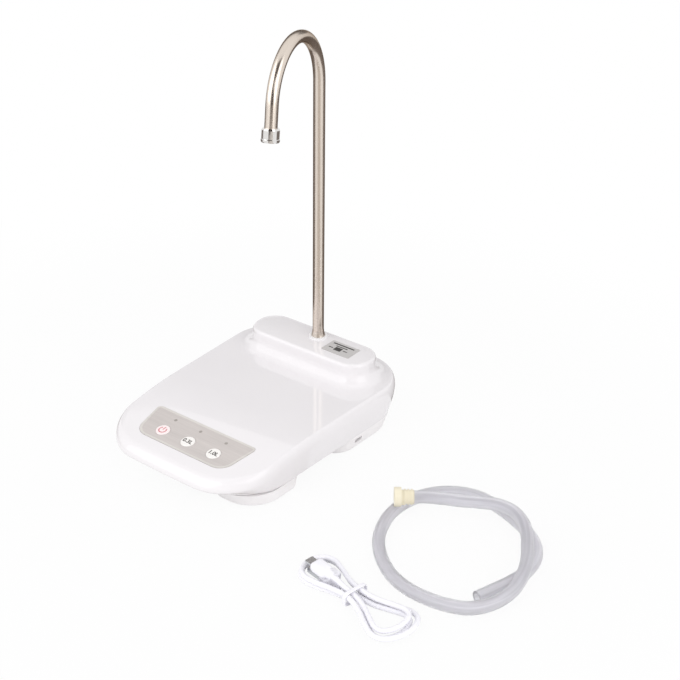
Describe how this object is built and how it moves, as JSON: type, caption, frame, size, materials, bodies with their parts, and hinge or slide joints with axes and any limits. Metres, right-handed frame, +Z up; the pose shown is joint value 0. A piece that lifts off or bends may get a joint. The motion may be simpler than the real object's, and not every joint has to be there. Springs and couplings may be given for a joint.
{
  "type": "water jug pump",
  "caption": "Table-top electric water pump with a cup plate, push-button panel, swivelling gooseneck spout, gear pump and cell inside, suction hose and charging lead beside it.",
  "frame": {"origin": "middle of the base's bounding box, on the table under the foot pads", "axes": "+X to the user's right, +Y to the back where the spout stands, +Z up"},
  "size_m": [0.3358, 0.2381, 0.312],
  "materials": {
    "white_gloss": "glossy moulded ABS",
    "white_matte": "satin moulded ABS",
    "panel": "brushed, warm grey",
    "lens": "smoked clear",
    "button": "glossy",
    "pad": "matt",
    "board": "solder mask",
    "black_plastic": "satin",
    "cell": "shrink-wrapped",
    "steel": "brushed",
    "zinc": "zinc plated",
    "chrome": "polished",
    "acetal": "moulded",
    "seal": "matt",
    "inner_hose": "silicone",
    "hose": "translucent silicone",
    "cream": "moulded",
    "lead": "smooth PVC",
    "sticker": "printed film",
    "red_wire": "PVC",
    "black_wire": "PVC",
    "yellow_wire": "PVC"
  },
  "bodies": {
    "base": {"top_shell": "white_gloss", "bottom_housing": "white_matte", "foot_pads": "pad", "housing_screws": "zinc", "control_panel": "panel", "indicator_lenses": "lens", "control_board": "board", "tact_switches": "black_plastic", "board_screws": "zinc", "battery_cell": "cell", "battery_holder": "black_plastic", "motor_can": "zinc", "idler_pin": "steel", "pump_body": "white_matte", "pump_gasket": "seal", "pump_cover": "white_matte", "pump_screws": "zinc", "shaft_seal": "seal", "motor_strap": "white_matte", "strap_screws": "zinc", "inlet_tube": "inner_hose", "outlet_tube": "inner_hose", "spout_socket": "white_gloss", "socket_clip": "white_matte", "spout_o_rings": "seal", "hose_port": "white_matte", "charge_board": "board", "charge_socket": "zinc", "motor_leads": "red_wire", "battery_leads": "black_wire", "charge_leads": "yellow_wire", "deck_label": "sticker", "suction_hose": "hose", "hose_fitting": "cream", "usb_cable": "lead", "cable_tie": "lead", "micro_usb_plug": "lead", "micro_usb_tip": "zinc", "usb_a_plug": "lead", "usb_a_shell": "zinc"},
    "spout": {"spout_tube": "steel", "spout_ferrule": "steel", "nozzle_shell": "chrome", "nozzle_insert": "acetal"},
    "power_key": {"power_button": "button", "power_switch_stem": "black_plastic"},
    "small_volume_key": {"small_volume_button": "button", "small_volume_switch_stem": "black_plastic"},
    "large_volume_key": {"large_volume_button": "button", "large_volume_switch_stem": "black_plastic"},
    "pump_drive": {"motor_shaft": "steel", "drive_gear": "acetal"},
    "pump_idler": {"idler_gear": "acetal"}
  },
  "joints": [
    {"name": "spout_swivel", "type": "hinge", "parent": "base", "child": "spout", "pos_m": [0, 0.0775, 0.056], "axis": [0, 0, 1], "continuous": true},
    {"name": "power_press", "type": "slide", "parent": "base", "child": "power_key", "axis": [0, 0.1201, -0.9928], "range_m": [0, 0.0005], "stiffness_N_per_m": 400, "springref_m": -0.0003},
    {"name": "small_volume_press", "type": "slide", "parent": "base", "child": "small_volume_key", "axis": [0, 0.1201, -0.9928], "range_m": [0, 0.0005], "stiffness_N_per_m": 400, "springref_m": -0.0003},
    {"name": "large_volume_press", "type": "slide", "parent": "base", "child": "large_volume_key", "axis": [0, 0.1201, -0.9928], "range_m": [0, 0.0005], "stiffness_N_per_m": 400, "springref_m": -0.0003},
    {"name": "pump_turn", "type": "hinge", "parent": "base", "child": "pump_drive", "pos_m": [-0.02, 0.0605, 0.028], "axis": [1, 0, 0], "continuous": true},
    {"name": "idler_turn", "type": "hinge", "parent": "base", "child": "pump_idler", "pos_m": [-0.02, 0.0497, 0.028], "axis": [1, 0, 0], "continuous": true}
  ],
  "couplings": [
    {"joint": "idler_turn", "follows": "pump_turn", "ratio": -1}
  ]
}
